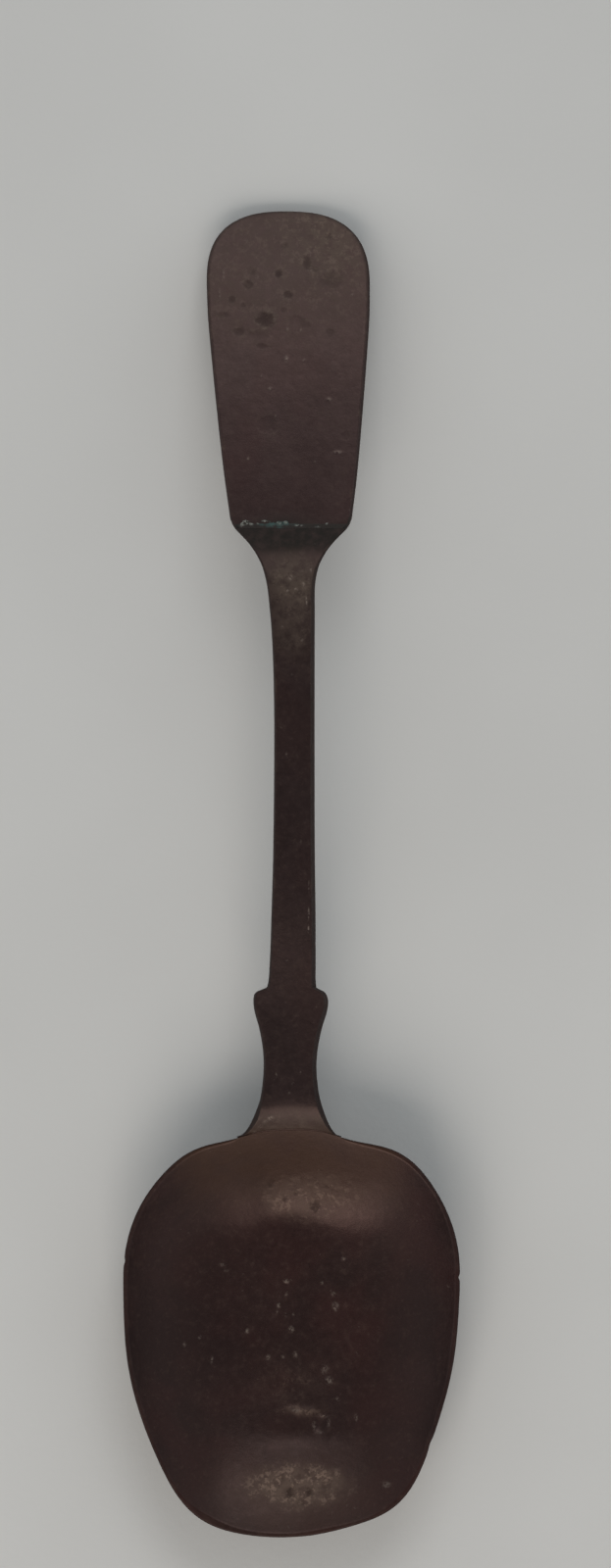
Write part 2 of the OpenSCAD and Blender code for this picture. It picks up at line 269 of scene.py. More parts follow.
# Ragged spots in the hollow: place, radius across and along, strength
BOWL_PITS = [
    (2.3, -33.8, 0.42, 0.45, 1), (-1.9, -31.6, 0.36, 0.36, 0.8), (-0.2, -62.8, 0.5, 0.5, 1),
    (1.9, -62.9, 0.42, 0.45, 1), (-0.9, -61.6, 0.3, 0.3, 0.8), (0.8, -63.9, 0.32, 0.3, 0.8),
    (3.4, -62.2, 0.3, 0.3, 0.6), (-2.5, -62.4, 0.3, 0.3, 0.6), (-5.4, -38.6, 0.3, 0.3, 0.4),
    (5.6, -47.5, 0.3, 0.3, 0.4), (-8.2, -50.3, 0.35, 0.3, 0.4), (8.4, -42.6, 0.3, 0.3, 0.4),
    (3.0, -56.0, 0.62, 0.75, 0.8), (0.5, -32.6, 0.22, 0.22, 0.7), (3.6, -31.9, 0.25, 0.2, 0.7),
    (-0.6, -33.2, 0.2, 0.2, 0.6),
]
# Pale grains of old deposit that stand on the floor
BOWL_GRAINS = [
    (-0.5, -41.5, 0.22, 0.2, 1), (-1.3, -44.0, 0.18, 0.2, 1), (0.0, -46.4, 0.24, 0.24, 1),
    (4.5, -44.1, 0.28, 0.42, 0.9), (-4.5, -46.6, 0.22, 0.2, 0.9), (-6.6, -40.4, 0.2, 0.12, 0.5),
    (-2.4, -49.3, 0.22, 0.2, 0.8), (0.4, -49.0, 0.24, 0.26, 0.9), (-0.9, -49.2, 0.2, 0.16, 0.7),
    (3.8, -51.6, 0.30, 0.30, 1), (3.4, -50.4, 0.3, 0.5, 0.5), (0.5, -54.7, 0.5, 0.16, 0.7),
    (6.6, -55.4, 0.10, 0.3, 0.7), (4.7, -53.5, 0.18, 0.18, 0.6), (9.7, -62.1, 0.36, 0.3, 0.6),
    (-10.9, -47.9, 0.16, 0.2, 0.8), (-9.3, -47.2, 0.18, 0.16, 0.8), (3.1, -41.7, 0.16, 0.2, 0.7),
    (4.3, -42.8, 0.2, 0.2, 0.7), (5.3, -39.2, 0.16, 0.18, 0.7), (-7.0, -39.8, 0.3, 0.14, 0.5),
    (-0.5, -42.8, 0.14, 0.2, 0.7), (-8.1, -49.5, 0.14, 0.3, 0.7), (-0.6, -45.0, 0.14, 0.16, 0.7),
    (3.2, -55.2, 0.4, 0.14, 0.8), (2.3, -56.2, 0.14, 0.4, 0.7), (3.8, -56.0, 0.12, 0.4, 0.6),
    (3.0, -56.9, 0.4, 0.10, 0.5), (-1.4, -44.6, 0.12, 0.16, 0.6), (0.2, -44.9, 0.1, 0.14, 0.5),
]


def turned(a, b):
    """Angle between two directions, in degrees."""
    return np.abs((a - b + 540) % 360 - 180)


def corner_share(a, corners, spread):
    """1 at each of some directions, fading to 0 away from it."""
    return sum(np.exp(-((turned(a, corner) / spread) ** 2)) for corner in corners)


def heel_share(a):
    """1 in the middle of the heel, 0 away from it."""
    return np.exp(-((turned(a, HEEL_MIDDLE) / HEEL_ANGLE) ** HEEL_SQUARE))


def base_radius(a):
    """Distance from the middle of the bowl to its outline by direction in degrees, without the heel."""
    c, s = np.cos(np.radians(a)), np.sin(np.radians(a))
    square = np.where(s > 0, SHOULDER_SQUARE, TIP_SQUARE)
    reach = np.where(s > 0, SHOULDER_LEN, TIP_LEN)
    even = ((np.abs(c) / HALF_BOWL) ** square + (np.abs(s) / reach) ** square) ** (-1 / square)
    full = TIP_CORNER * corner_share(a, TIP_CORNERS, TIP_SPREAD)
    full = full + SHOULDER_CORNER * corner_share(a, SHOULDER_CORNERS, SHOULDER_SPREAD)
    worn = TIP_WEAR * corner_share(a, WORN_PLACES, WEAR_SPREAD)
    return even + full - worn + BOWL_SKEW * np.sin(np.radians(2 * a))


def edge_faults(a):
    """What filing and knocks have done to the outline: slight waves, two nicks and a kink."""
    waves = 0.03 * np.sin(np.radians(5 * a + 40)) + 0.02 * np.sin(np.radians(11 * a))
    for place, width, depth in RIM_NICKS:
        waves = waves - depth * np.exp(-((turned(a, place) / width) ** 2))
    return waves


def contour_radius(a, s):
    """A contour of the bowl, from 0 at its middle to 1 at its outline."""
    heel = s * s * HEEL_REACH * heel_share(a)
    return s * base_radius(a) + heel + s ** FAULT_POWER * edge_faults(a)


def contour_at(a, r):
    """The contour that passes through a point, by its direction and distance from the middle."""
    base = base_radius(a)
    return 2 * r / (base + np.sqrt(base * base + 4 * HEEL_REACH * heel_share(a) * r))


def joined(a):
    """1 along the part of the edge that is brazed to the neck."""
    return step(NECK_ANGLE + 2.5, NECK_ANGLE - 1.0, turned(a, HEEL_MIDDLE))


def rim_z(a):
    """Height of the rim: it rises towards the neck and falls towards the tip."""
    along = (base_radius(a) + HEEL_REACH * heel_share(a)) * np.sin(np.radians(a))
    to_neck, to_tip = SHOULDER_RISE * (along / SHOULDER_LEN) ** 2, -TIP_FALL * (along / TIP_LEN) ** 2
    return HOLLOW + SHEET_T + np.where(along > 0, to_neck, to_tip) + HEEL_RISE * heel_share(a)


def wall_share(a, s):
    """How high the wall stands on a contour. Under the heel it starts at once from a flat floor."""
    sine = np.sin(np.radians(a))
    floor = HEEL_FLOOR * (0.50 + 0.50 * sine ** 2)
    start = np.minimum(HEEL_FLOOR_LIMIT, floor / (base_radius(a) * np.maximum(sine, 0.3)))
    t = (s - start) / (1 - start)
    t = 0.5 * (t + np.sqrt(t * t + HEEL_BLEND ** 2))
    heel = t ** HEEL_POWER * (1 + HEEL_EASE - HEEL_EASE * t ** 3)
    share = step(HEEL_FROM, HEEL_FULL, sine)
    return np.abs(s) ** WALL_POWER * (1 - share) + heel * share


def outside_z(a, s):
    """Height of the bowl's back by contour. Below 0 it has been worn away."""
    return (rim_z(a) - RIM_EDGE + REST_WEAR) * wall_share(a, s) - REST_WEAR


def bowl_back_z(x, y):
    """Height of the bowl's back at a place seen from above."""
    a = np.degrees(np.arctan2(y - WIDE_Y, x))
    s = np.minimum(1, contour_at(a, np.hypot(x, y - WIDE_Y)))
    return np.maximum(0, outside_z(a, s))


def hollow_z(a, s, x, y):
    """Height of the hollow's face: struck shape, hammer waves, a knock and small pits."""
    width = RIM_FLAT + RIM_FLAT_WAVES * bumps(x, y, 3.0, 5)
    flat = width * (1 - np.exp(-((turned(a, HEEL_MIDDLE) / HEEL_RIM_ANGLE) ** 4)))
    inner = s / (1 - flat / contour_radius(a, 1.0))
    z = SHEET_T + (rim_z(a) - SHEET_T) * wall_share(a, np.minimum(inner, 1.2))
    hammered = 0.05 * relief(x, y, 7.0, 11) + 0.010 * relief(x, y, 1.4, 23)
    z = z + hammered * (1 - joined(a) * s ** 8)
    # the knock near the tip: two raised burrs, a pit, the hollow in front of it and its raised side
    ragged = 0.3 * bumps(x, y, 0.9, 35) + 0.15 * bumps(x, y, 0.4, 37)
    z = z + 0.10 * blob(x + ragged, y + ragged, 0.4, -54.7, 1.3, 0.5)
    z = z + 0.06 * blob(x, y + ragged, 2.2, -54.9, 0.6, 0.35)
    z = z - 0.20 * blob(x + ragged, y, 3.0, -55.9, 0.75, 0.85, 3)
    z = z - 0.24 * blob(x, y, 1.2, -57.2, 4.2, 1.4)
    return z + 0.08 * blob(x, y, 3.9, -56.4, 0.4, 1.3)


def ochre_and_highlight_patches(x, y):
    """Where the dark skin has worn to a rough ochre: below the heel, at the tip and at the knock. Below the
    heel and at the tip the ochre also paints the highlights of the windows.
    """
    ragged = relief(x, y, 1.6, 41)
    heel = blob(x + 0.9 * ragged, y + 0.7 * ragged, 1.8, -32.9, 4.8, 2.0, 3)
    tip = blob(x + 0.9 * ragged, y + 0.6 * ragged, 0.4, -62.4, 5.0, 2.1, 5)
    knock = 0.5 * blob(x, y + 0.3 * ragged, 0.9, -54.7, 1.7, 0.4)
    return heel, tip, knock + 0.12 * blob(x, y, 0.0, -51.8, 3.6, 2.2)


def bowl_grid(rows):
    """Contours of the bowl, closer together towards the rim: direction, contour, x and y of each point."""
    a = np.arange(BOWL_TURNS) * 360.0 / BOWL_TURNS
    s = 1 - (1 - np.linspace(0, 1, rows + 1)[1:]) ** ROWS_CROWD
    A, S = np.meshgrid(a, s)
    R = contour_radius(A, S)
    return A, S, R * np.cos(np.radians(A)), WIDE_Y + R * np.sin(np.radians(A))


def bowl_faces():
    """Quads of the hollow, the back and the rim's edge, and the triangles round both middles."""
    k = np.arange(BOWL_TURNS)
    k2 = (k + 1) % BOWL_TURNS
    quads = []
    for i in range(HOLLOW_ROWS - 1):
        o = i * BOWL_TURNS
        quads.append(np.stack([o + k, o + BOWL_TURNS + k, o + BOWL_TURNS + k2, o + k2], -1))
    back = HOLLOW_ROWS * BOWL_TURNS
    for i in range(BACK_ROWS - 1):
        o = back + i * BOWL_TURNS
        quads.append(np.stack([o + k, o + k2, o + BOWL_TURNS + k2, o + BOWL_TURNS + k], -1))
    last_top = back - BOWL_TURNS
    last_back = back + (BACK_ROWS - 1) * BOWL_TURNS
    quads.append(np.stack([last_top + k, last_back + k, last_back + k2, last_top + k2], -1))
    centre = (HOLLOW_ROWS + BACK_ROWS) * BOWL_TURNS
    tris = np.concatenate([
        np.stack([k, k2, np.full(BOWL_TURNS, centre)], -1),
        np.stack([back + k2, back + k, np.full(BOWL_TURNS, centre + 1)], -1),
    ])
    return np.concatenate(quads), tris


def make_bowl():
    """The struck dish: hollow, back and rim in one closed mesh."""
    A, S, x, y = bowl_grid(HOLLOW_ROWS)
    gap = (1 - S) * contour_radius(A, 1.0)
    free_edge = 1 - joined(A)
    pit, grain = spots(x, y, BOWL_PITS, 31), spots(x, y, BOWL_GRAINS, 33)
    heel, tip, knock = ochre_and_highlight_patches(x, y)
    z = hollow_z(A, S, x, y) - PIT_DEPTH * pit + GRAIN_HEIGHT * grain
    rim_wave = 0.05 * relief(x, y, 5.0, 61) - 0.25 * blob(x, y, -8.6, -66.0, 4.0, 2.5)
    z = soft_min(z, rim_z(A) + rim_wave * free_edge + 0.3 * joined(A), 0.10)
    z = z - edge_drop(gap, INNER_ROUND) * free_edge
    z = z + 0.015 * relief(x, y, 0.45, 71) * (0.2 + heel + 1.8 * tip)

    B, T, x2, y2 = bowl_grid(BACK_ROWS)
    gap2 = (1 - T) * contour_radius(B, 1.0)
    z2 = outside_z(B, T) + 0.03 * relief(x2, y2, 6.0, 81)
    z2 = np.maximum(z2, 0.012 * (1 + relief(x2, y2, 0.8, 82)))
    z2 = z2 + edge_drop(gap2, OUTER_ROUND)

    hollow, back = np.stack([x, y, z], -1).reshape(-1, 3), np.stack([x2, y2, z2], -1).reshape(-1, 3)
    middles = [[0, WIDE_Y, z[0].mean()], [0, WIDE_Y, z2[0].mean()]]
    no_back = np.zeros(BACK_ROWS * BOWL_TURNS)

    def both_faces(on_top, on_back=no_back):
        """A mask for all points of the bowl, from its values on the hollow and on the back."""
        return np.concatenate([on_top.reshape(-1), on_back.reshape(-1), [0, 0]])

    # A painted highlight along the rim's inner arris, stronger towards the neck
    rim_glint_reach = 0.15 + 0.4 * step(0.2, 0.7, np.sin(np.radians(A)))
    band = step(0.7, 0.45, gap) * step(0.25, 0.42, gap)
    rim_glint = rim_glint_reach * band * (0.5 + 0.5 * bumps(x, y, 2.2, 63))
    shoulders = step(-36.0, -29.0, y) * step(13.5, 9.0, np.abs(x))
    masks = {
        # edge: the painted rim highlight, and a lighter band on the back's edge
        "edge": both_faces(rim_glint * free_edge, 0.5 * step(0.5, 0.1, gap2)),
        # side: painted shade that darkens the faces at the rim's edge
        "side": both_faces(step(0.22, 0.0, gap) * free_edge, step(0.4, 0.0, gap2)),
        "pit": both_faces(pit),
        "grain": both_faces(grain),
        # ochre: worn ochre, which below the heel and at the tip is also a painted highlight
        "ochre": both_faces(np.maximum(np.maximum(heel * 0.5, tip), knock), step(0.08, 0.0, z2)),
        "orange": both_faces(shoulders + 0.6 * blob(x, y, 0.0, -63.8, 8.0, 4.0)),
    }
    quads, tris = bowl_faces()
    return finished_mesh("bowl_struck", np.concatenate([hollow, back, middles]), quads, tris, masks)


# ---------------------------------------------------------------- stem

# Top of the neck, underside of the drop's root, and where the neck's rows become straight
NECK_Z = SHANK_Z - 2.5
DROP_ROOT_Z = SHANK_Z - 5.65
NECK_END_Y = -22.9
# Filler between heel and neck seen from above, and how far the neck stands above the rim there
NECK_GAP = 0.12
NECK_ABOVE_RIM = 0.05
# Thickness at the drop's rim, and how much thicker it is along its middle
DROP_EDGE, DROP_CROWN = 0.15, 0.55
# The foot swells a little before it falls to the crease: height, place and length
FOOT_SWELL, FOOT_SWELL_Y, FOOT_SWELL_LEN = 0.12, 30.8, 2.0
STEM_COLUMNS, DROP_ROWS, NECK_ROWS = 81, 60, 25

# Half the width of the bar, its top and its underside, by place along it
STEM_HALF = [
    (-24, 3.35), (-22.9, 3.06), (-21.5, 2.82), (-19.5, 2.68), (-17.5, 2.82), (-15.5, 3.22),
    (-14, 3.66), (-13, 3.8), (-12.3, 3.7), (-11.9, 3.42), (-11.68, 2.95), (-11.42, 2.5),
    (-9, 2.34), (-4, 2.24), (2, 2.12), (10, 2.06), (17, 2.06), (23, 2.14),
    (27, 2.29), (29.5, 2.46), (31.3, 2.88), (32.6, 3.52), (33.7, 4.31), (34.5, 5.07),
    (35.2, 5.72), (36, 6.12), (36.8, 6.26),
]
STEM_TOP = [
    (-27.2, NECK_Z - 2.75), (-25.9, NECK_Z - 1.65), (-25.1, NECK_Z - 0.98),
    (-24.3, NECK_Z - 0.48), (-23.5, NECK_Z - 0.17), (-22.4, NECK_Z - 0.03),
    (-20.5, NECK_Z), (-13, NECK_Z + 0.5), (-2, SHANK_Z - 0.5),
    (12, SHANK_Z), (24, SHANK_Z + 0.1), (29.5, SHANK_Z - 0.1),
    (32, SHANK_Z - 0.7), (CREASE_Y, SHANK_Z - 1.72),
]
STEM_UNDER = [
    (-27.2, DROP_ROOT_Z - 0.1), (-26, DROP_ROOT_Z - 0.1), (-24.3, DROP_ROOT_Z + 0.17),
    (-22.4, DROP_ROOT_Z + 0.55), (-19.5, NECK_Z - 2.4), (-13, NECK_Z - 1.9),
    (-2, SHANK_Z - 2.8), (12, SHANK_Z - 2.3), (24, SHANK_Z - 2.2),
    (29.5, SHANK_Z - 2.06), (LAP_END_Y, SHANK_Z - 2.02),
]
# Pale grains and streaks on the bar. The first four spots paint a highlight along the neck's left arris, and
# the narrow streaks near the right edge are worn metal painted as glints.
STEM_GRAINS_AND_GLINTS = [
    (-2.1, -24.7, 0.35, 0.16, 1), (-2.7, -25.1, 0.32, 0.2, 0.5), (-3.2, -25.6, 0.32, 0.22, 0.4),
    (-3.7, -26.1, 0.34, 0.22, 0.35), (-1.4, -20.3, 0.1, 0.16, 0.6), (1.1, -20.0, 0.1, 0.16, 0.5),
    (-0.1, -22.2, 0.12, 0.1, 0.5), (0.3, -21.2, 0.1, 0.1, 0.4), (0.0, 30.1, 0.2, 0.26, 0.9),
    (-0.4, 28.8, 0.16, 0.2, 0.9), (0.5, 29.0, 0.2, 0.16, 0.9), (1.3, 29.5, 0.16, 0.2, 0.8),
    (1.6, 27.8, 0.1, 0.5, 1), (1.7, -3.9, 0.1, 0.5, 1), (1.7, -5.4, 0.1, 0.4, 1),
    (1.7, -1.2, 0.08, 0.6, 0.5), (2.2, 30.9, 0.12, 0.3, 0.8), (-0.8, 12.2, 0.12, 0.2, 0.4),
    (0.7, 3.4, 0.1, 0.16, 0.4), (-0.2, 20.3, 0.1, 0.14, 0.4), (0.9, 23.8, 0.14, 0.12, 0.5),
    (-1.1, 25.1, 0.12, 0.12, 0.5),
]
# The handle isn't quite straight: how far its middle wanders to the right, by place along it
MIDDLE_X = [
    (-26, -0.10), (-20, -0.13), (-13, -0.05), (-11.9, -0.10), (-11.2, 0.06), (-5, 0.21),
    (8, 0.30), (18, 0.30), (25, 0.18), (31, -0.08), (36, -0.03), (46, -0.14),
    (56, -0.26), (62, -0.35), (67.5, -0.5),
]
# How far each side leans in from its foot to its top, per millimetre of height
LEAN_LEFT, LEAN_RIGHT = 0.06, 0.16
NECK_LEAN = 0.14
# Radius of the bar's upper and lower edges
TOP_ROUND, UNDER_ROUND = 0.16, 0.4

# The plate's top, from its foot to its end, and the film of filler in the lap
PLATE_FOOT_Z = SHANK_Z - 2.05
PLATE_END_Z = 1.05
PLATE_SLOPE = 0.09
PLATE_LEN = PLATE_END_Y - CREASE_Y
PLATE_BEND = (PLATE_FOOT_Z - PLATE_END_Z - PLATE_SLOPE * PLATE_LEN) / PLATE_LEN ** 2
LAP_FILM = 0.1


def stem_top(y):
    """Top of the bar by place along it."""
    return smooth_curve(STEM_TOP, y)


def plate_top(y):
    """The plate bends down more and more towards its end."""
    return PLATE_FOOT_Z - PLATE_SLOPE * (y - CREASE_Y) - PLATE_BEND * np.maximum(0, y - CREASE_Y) ** 2


def stem_bottom(y):
    """The underside of the bar: free, or on the film of filler over the plate's lap."""
    return np.where(y > LAP_END_Y, plate_top(y) + LAP_FILM, smooth_curve(STEM_UNDER, y))


def heel_edge(u, gap):
    """A point of the heel's edge seen from above, from -1 at its left to 1 at its right."""
    a = HEEL_MIDDLE - u * NECK_ANGLE
    r = contour_radius(a, 1.0) + gap
    return r * np.cos(np.radians(a)), WIDE_Y + r * np.sin(np.radians(a))


def leaning(x, y, u, height):
    """Moves a point of the top face in from the silhouette, because both sides of the bar lean."""
    left = LEAN_LEFT + NECK_LEAN * step(-22.5, -25.5, y)
    return x - np.sign(u) * np.abs(u) ** 3 * np.where(u > 0, LEAN_RIGHT, left) * height


def bar_faces(x, y, u, top, bottom, seed):
    """Top and bottom of a bar with leaning sides, rounded arrises and an uneven skin."""
    half = np.abs(x).max(axis=1, keepdims=True)
    distance = (1 - np.abs(u)) * half
    thick = top - bottom
    skin = 0.03 * relief(x, y, 4.0, seed) + 0.008 * relief(x, y, 0.9, seed + 1)
    z_top = top - edge_drop(distance, np.minimum(TOP_ROUND, thick * 0.3)) + skin * np.clip(thick, 0, 1)
    z_bottom = bottom + edge_drop(distance, np.minimum(UNDER_ROUND, thick * 0.35))
    middle = smooth_curve(MIDDLE_X, y)
    upper = np.stack([leaning(x, y, u, thick) + middle, y, z_top], -1)
    return upper, np.stack([x + middle, y, z_bottom], -1), distance


def drop_plan(u, rows):
    """Rows of the tongue under the bowl's back, from its round tip to the arc of the heel."""
    t = np.sin(np.linspace(math.pi / 2, 0, rows))[:, None]
    fx, fy = heel_edge(u, 0.05)
    narrow = np.sqrt(np.maximum(0.004, 1 - t * t))
    return fx * narrow, fy * (1 - t) + (DROP_TIP_Y + 0.5 * u * u) * t, t


def drop_faces(u):
    """The tongue: its plan, its upper face against the film of filler, and its crowned lower face."""
    x, y, t = drop_plan(u, DROP_ROWS)
    back = bowl_back_z(x, y) - LAP_FILM
    crown = DROP_CROWN * np.sqrt(np.maximum(0, 1 - t * t)) * (1 - 0.5 * np.abs(u) ** 4)
    full = DROP_ROOT_Z - (1 - t) * 0.1 + 0 * u
    low = soft_min(full, back - (DROP_EDGE + crown) * (1 - 0.75 * np.abs(u) ** 6), 0.8)
    low = np.maximum(low, 0.05)
    return x, y, np.maximum(back, low + 0.03), low


def bar_plan(u):
    """The bar seen from above, and how near each point is to the heel, from 0 to 1."""
    # the neck's rows turn from the heel's arc to straight lines
    t = np.linspace(0, 1, NECK_ROWS)[:-1, None]
    heel_x, heel_y = heel_edge(u, NECK_GAP)
    flare = t ** 0.5
    root_half = smooth_curve(STEM_HALF, np.array(NECK_END_Y))
    neck_x = heel_x * (1 - flare) + u * root_half * flare
    neck_y = heel_y * (1 - t) + NECK_END_Y * t + 0 * u
    ys = np.concatenate([
        np.linspace(NECK_END_Y, -14, 70), np.linspace(-13.9, -10.8, 70), np.linspace(-10.6, 26, 230),
        np.linspace(26.15, FOOT_END_Y, 120),
    ])[:, None]
    near_heel = np.concatenate([step(1.0, 0.0, t + 0 * u), np.zeros((len(ys), u.size))])
    x = np.concatenate([neck_x, u * smooth_curve(STEM_HALF, ys)])
    return x, np.concatenate([neck_y, ys + 0 * u]), near_heel


def make_stem():
    """The bar from the drop under the bowl to the trumpet-shaped foot, in one closed mesh."""
    u = crowded(STEM_COLUMNS)[None, :]
    drop_x, drop_y, drop_high, drop_low = drop_faces(u)
    x, y, near_heel = bar_plan(u)
    # the neck meets the rim at the rim's height
    rim = rim_z(HEEL_MIDDLE - u * NECK_ANGLE) + NECK_ABOVE_RIM
    lift = rim - stem_top(heel_edge(u, NECK_GAP)[1])
    swell = FOOT_SWELL * blob(0 * y, y, 0, FOOT_SWELL_Y, 1, FOOT_SWELL_LEN)
    top = stem_top(y) + lift * near_heel + swell
    upper, lower, distance = bar_faces(x, y, u, top, stem_bottom(y), 101)
    place_x, place_y = np.concatenate([drop_x, x]), np.concatenate([drop_y, y])
    on_bar = np.concatenate([np.zeros_like(drop_x), np.ones_like(x)])
    far = np.concatenate([np.ones_like(drop_x), distance])
    crest = 1.4 * blob(place_x, place_y, 0.3, 30.2, 2.4, 2.4) + 0.5 * blob(place_x, place_y, 0, 25.5, 3, 3.6)
    crest = crest + 0.5 * step(-23.2, -24.8, place_y) * step(-27.2, -25.4, place_y)
    # root marks where a painted highlight runs along the neck's arrises near the heel
    root = step(0.5, 0.15, far) * step(-23.2, -24.6, place_y) * on_bar
    masks = {
        # edge: lighter arrises, partly wear and partly a painted highlight, strongest along the neck near the
        # heel
        "edge": (step(0.34, 0.10, far) * (0.55 + root), step(0.5, 0.1, far) * 0.6),
        # side: painted shade that darkens the bar's leaning side walls
        "side": (step(0.10, 0.0, far) * on_bar, step(0.35, 0.0, far)),
        # grain: pale grains, and the painted highlight and glints along the arrises
        "grain": (spots(place_x, place_y, STEM_GRAINS_AND_GLINTS, 103) * on_bar, 0),
        "ochre": (np.clip(crest, 0, 1) * on_bar, 0),
        "orange": (step(-24.2, -26.6, place_y) * on_bar, 0),
        "green": (step(32.0, 33.8, place_y) * on_bar, 0),
    }
    top_grid = np.concatenate([np.stack([drop_x, drop_y, drop_high], -1), upper])
    low_grid = np.concatenate([np.stack([drop_x, drop_y, drop_low], -1), lower])
    return closed_slab("stem_bar", top_grid, low_grid, masks)


# ---------------------------------------------------------------- fiddle plate

# Half the width of the plate by place along it, up to where its end begins to round off
PLATE_HALF = [
    (34.5, 5.07), (35.2, 5.72), (36, 6.12), (36.8, 6.26),
    (41, 6.80), (47, HALF_PLATE - 0.90), (53, HALF_PLATE - 0.37), (57, HALF_PLATE - 0.07),
    (60, HALF_PLATE),
]
END_CURVE_Y = 60.0
END_SQUARE = 2.6
# The last row keeps a little width, so that no face shrinks to a point
END_LEAST = 0.003
# Thickness at the lap's tip and what it gains by the crease, then of the plate and what it loses
SCARF_TIP_T, SCARF_T = 0.35, 0.95
PLATE_T, PLATE_THINNING = 1.3, 0.25
PLATE_ROUND, PLATE_UNDER_ROUND = 0.28, 0.25
PLATE_PIT_DEPTH, BURR_HEIGHT, PLATE_GRAIN_HEIGHT = 0.10, 0.03, 0.04
PLATE_COLUMNS, PLATE_END_ROWS = 161, 101
# Ragged spots in the plate: place, radius across and along, strength
PLATE_PITS = [
    (-2.7, 56.5, 0.85, 0.8, 1), (-4.4, 60.1, 0.5, 0.48, 0.8), (-1.3, 61.1, 0.42, 0.42, 0.9),
    (-0.3, 59.0, 0.42, 0.4, 0.8), (-6.1, 58.5, 0.35, 0.35, 0.7), (1.6, 62.3, 0.42, 0.65, 0.75),
    (4.1, 60.5, 1.15, 0.8, 0.45), (-5.3, 55.2, 0.6, 0.42, 0.6), (1.3, 56.0, 0.55, 0.5, 0.35),
    (-7.0, 56.9, 0.6, 0.25, 0.45), (-4.0, 61.4, 0.42, 0.35, 0.45), (-2.4, 45.7, 0.95, 0.85, 0.35),
    (-0.7, 64.1, 0.3, 0.28, 0.5), (-2.9, 53.7, 0.55, 0.3, 0.5), (3.8, 65.0, 0.45, 0.3, 0.4),
    (3.9, 55.1, 0.5, 0.42, 0.4), (0.6, 56.4, 0.9, 0.5, 0.2), (-3.4, 54.9, 1.0, 0.5, 0.3),
    (-0.8, 57.4, 0.3, 0.25, 0.4), (5.4, 44.6, 0.5, 0.4, 0.25), (-4.9, 57.9, 0.3, 0.2, 0.4),
    (2.4, 61.6, 0.5, 0.3, 0.4),
]
PLATE_GRAINS = [
    (-0.5, 52.4, 0.18, 0.36, 1), (-2.2, 49.4, 0.2, 0.18, 0.9), (3.8, 48.3, 0.24, 0.18, 0.8),
    (1.9, 61.5, 0.2, 0.12, 0.6), (-0.4, 55.5, 0.16, 0.16, 0.6), (0.9, 55.4, 0.14, 0.16, 0.6),
    (-3.5, 60.8, 0.14, 0.14, 0.5), (1.3, 52.3, 0.16, 0.12, 0.6), (4.7, 42.9, 0.5, 0.14, 0.7),
    (-4.4, 42.2, 0.14, 0.2, 0.6), (2.4, 41.9, 0.12, 0.14, 0.5), (-3.1, 50.7, 0.14, 0.14, 0.5),
    (-1.6, 46.6, 0.12, 0.14, 0.4), (6.2, 59.0, 0.16, 0.12, 0.5), (-6.9, 61.0, 0.1, 0.4, 0.6),
    (-7.3, 59.0, 0.1, 0.5, 0.6),
]


def plate_half(y):
    """Half the width of the stem's foot and the plate by place along them."""
    low, middle = smooth_curve(STEM_HALF, y), smooth_curve(PLATE_HALF, y)
    t = np.clip((y - END_CURVE_Y) / (PLATE_END_Y - END_CURVE_Y), 0, 1)
    end = HALF_PLATE * np.maximum(END_LEAST, 1 - t ** END_SQUARE) ** (1 / END_SQUARE)
    return np.where(y < PLATE_HALF[0][0], low, np.where(y < END_CURVE_Y, middle, end))


def plate_edge_distance(x, y):
    """Roughly how far a point of the plate is from the nearest edge."""
    side = plate_half(np.minimum(y, END_CURVE_Y)) - np.abs(x)
    t = np.maximum(0, (y - END_CURVE_Y) / (PLATE_END_Y - END_CURVE_Y))
    f = ((np.abs(x) / HALF_PLATE) ** END_SQUARE + t ** END_SQUARE) ** (1 / END_SQUARE)
    end = (1 - f) * np.hypot(x, y - END_CURVE_Y) / np.maximum(f, 1e-6)
    return np.maximum(0, np.where(y > END_CURVE_Y, end, side))


def plate_rows():
    """Places along the plate where its rows of points lie, closer together near its end."""
    near_end = 1 - (1 - np.linspace(0, 1, PLATE_END_ROWS)[1:]) ** 1.8
    return np.concatenate([
        np.linspace(LAP_END_Y, 35, 20), np.linspace(35.1, END_CURVE_Y, 260),
        END_CURVE_Y + (PLATE_END_Y - END_CURVE_Y) * near_end,
    ])[:, None]


